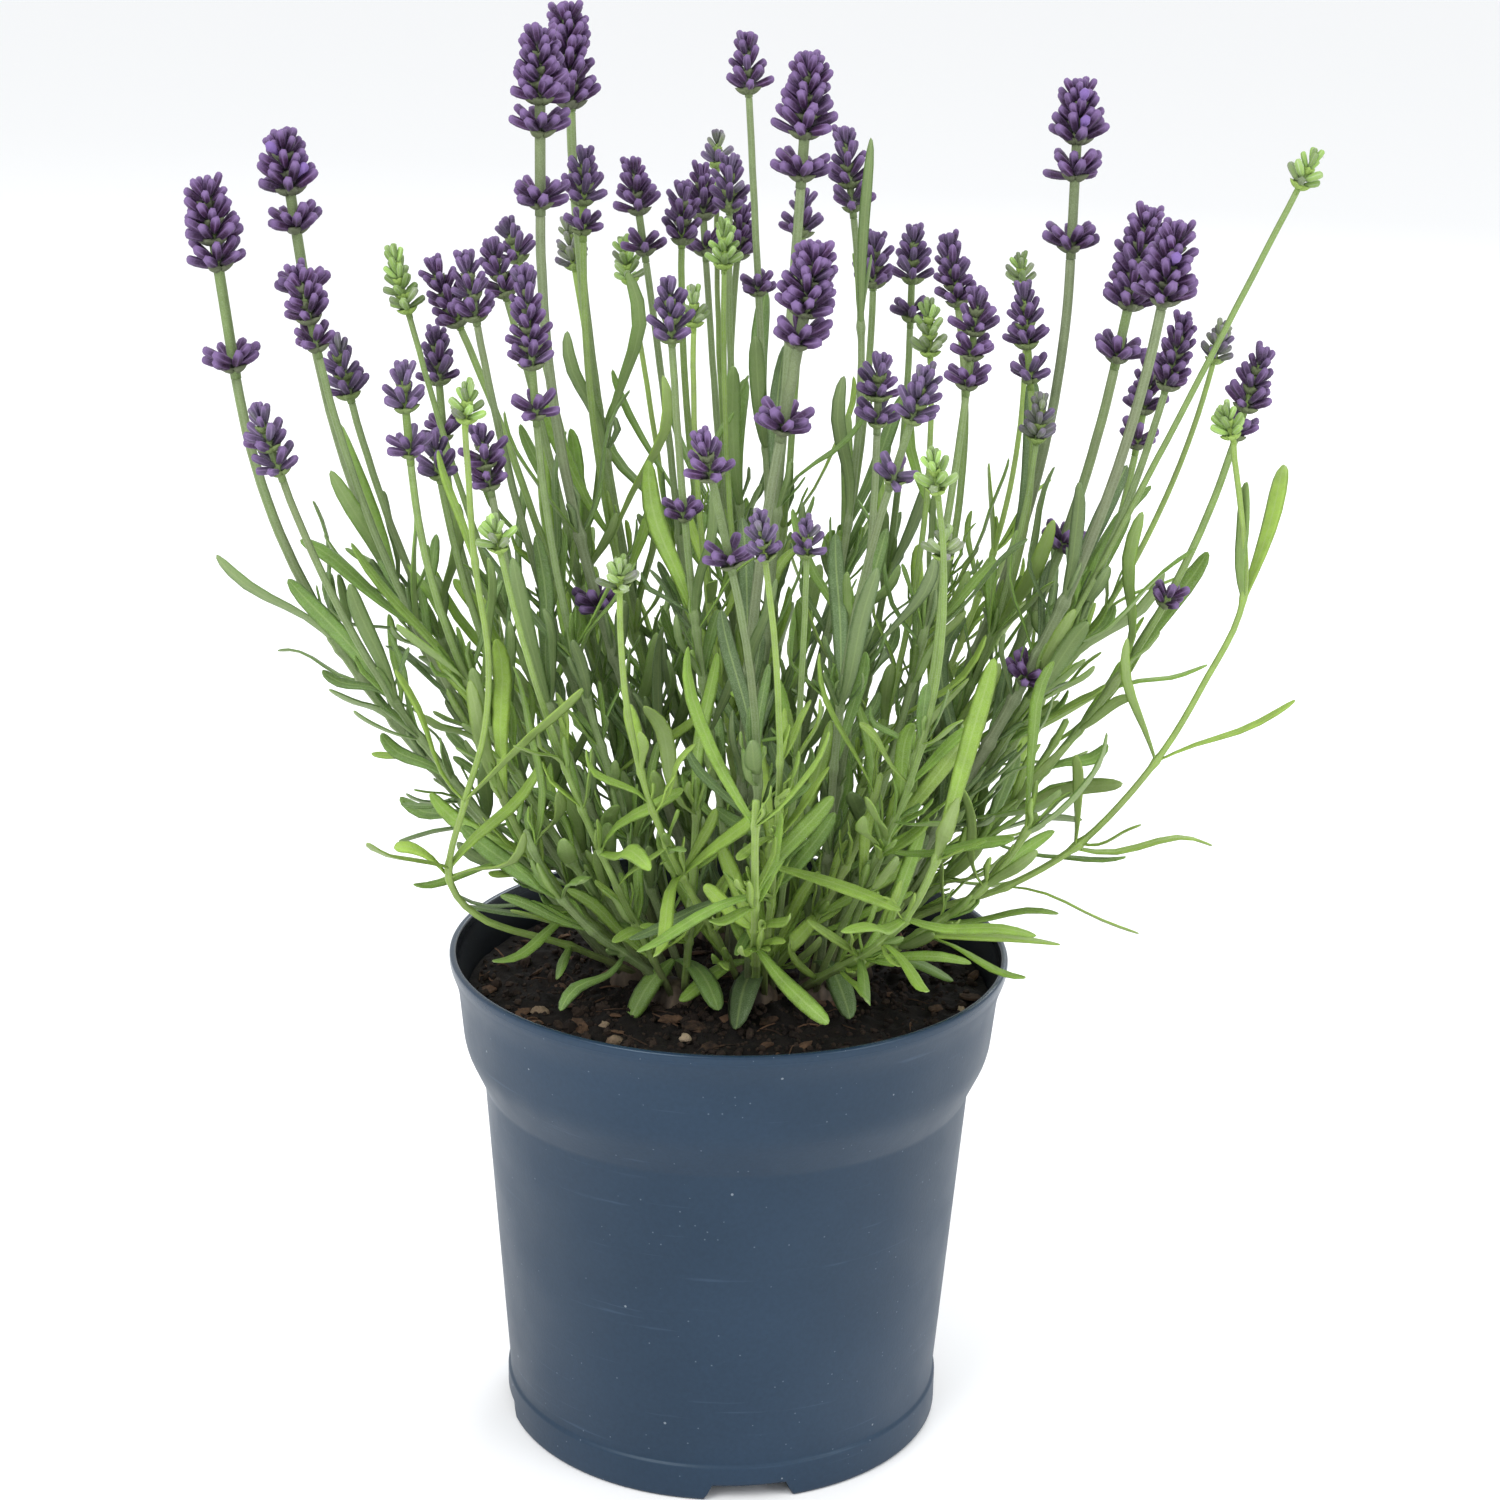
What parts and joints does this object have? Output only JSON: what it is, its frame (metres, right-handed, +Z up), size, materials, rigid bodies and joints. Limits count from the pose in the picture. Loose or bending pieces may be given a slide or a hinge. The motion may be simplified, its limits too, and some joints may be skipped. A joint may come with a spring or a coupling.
{
  "type": "potted lavender",
  "caption": "Bushy lavender in flower: upright spikes of dark violet buds over narrow grey-green leaves, in a tapered round nursery pot filled with peat.",
  "frame": {"origin": "middle of the pot's foot ring, on the surface that the pot stands on", "axes": "+Z up along the pot's axis, -Y towards the side that is usually seen, +X to that side's right"},
  "size_m": [0.2643, 0.2, 0.3521],
  "materials": {
    "pot": "semi-matt moulded plastic with fine specks and small scratches",
    "peat": "dull, crumbly, with bits of bark and fibre",
    "leaf": "matt, softly hairy leaves and square stems",
    "bud": "matt woolly buds, dark violet with paler tips"
  },
  "bodies": {
    "root": {"clump_back": "leaf", "clump_back_left": "leaf", "clump_front": "leaf", "clump_left": "leaf", "clump_left_back": "leaf", "clump_left_front": "leaf", "clump_middle": "leaf", "clump_right": "leaf", "clump_right_back": "leaf", "clump_right_front": "leaf", "flower_spike_01": "bud", "flower_spike_02": "bud", "flower_spike_03": "bud", "flower_spike_04": "bud", "flower_spike_05": "bud", "flower_spike_07": "bud", "flower_spike_08": "bud", "flower_spike_09": "bud", "flower_spike_10": "bud", "flower_spike_11": "bud", "flower_spike_12": "bud", "flower_spike_14": "bud", "flower_spike_15": "bud", "flower_spike_16": "bud", "flower_spike_17": "bud", "flower_spike_18": "bud", "flower_spike_19": "bud", "flower_spike_20": "bud", "flower_spike_21": "bud", "flower_spike_25": "bud", "flower_spike_26": "bud", "flower_spike_28": "bud", "flower_spike_29": "bud", "flower_spike_30": "bud", "flower_spike_32": "bud", "flower_spike_33": "bud", "flower_spike_34": "bud", "flower_spike_35": "bud", "flower_spike_36": "bud", "flower_spike_37": "bud", "flower_spike_38": "bud", "flower_spike_39": "bud", "flower_spike_40": "bud", "flower_spike_41": "bud", "flower_spike_42": "bud", "flower_spike_43": "bud", "flower_spike_44": "bud", "flower_spike_46": "bud", "flower_spike_47": "bud", "flower_spike_51": "bud", "flower_spike_52": "bud", "flower_spike_53": "bud", "flower_spike_54": "bud", "flower_spike_55": "bud", "flower_spike_56": "bud", "flower_spike_57": "bud", "flower_spike_58": "bud", "flower_spike_59": "bud", "peat": "peat", "pot": "pot"}
  },
  "joints": []
}
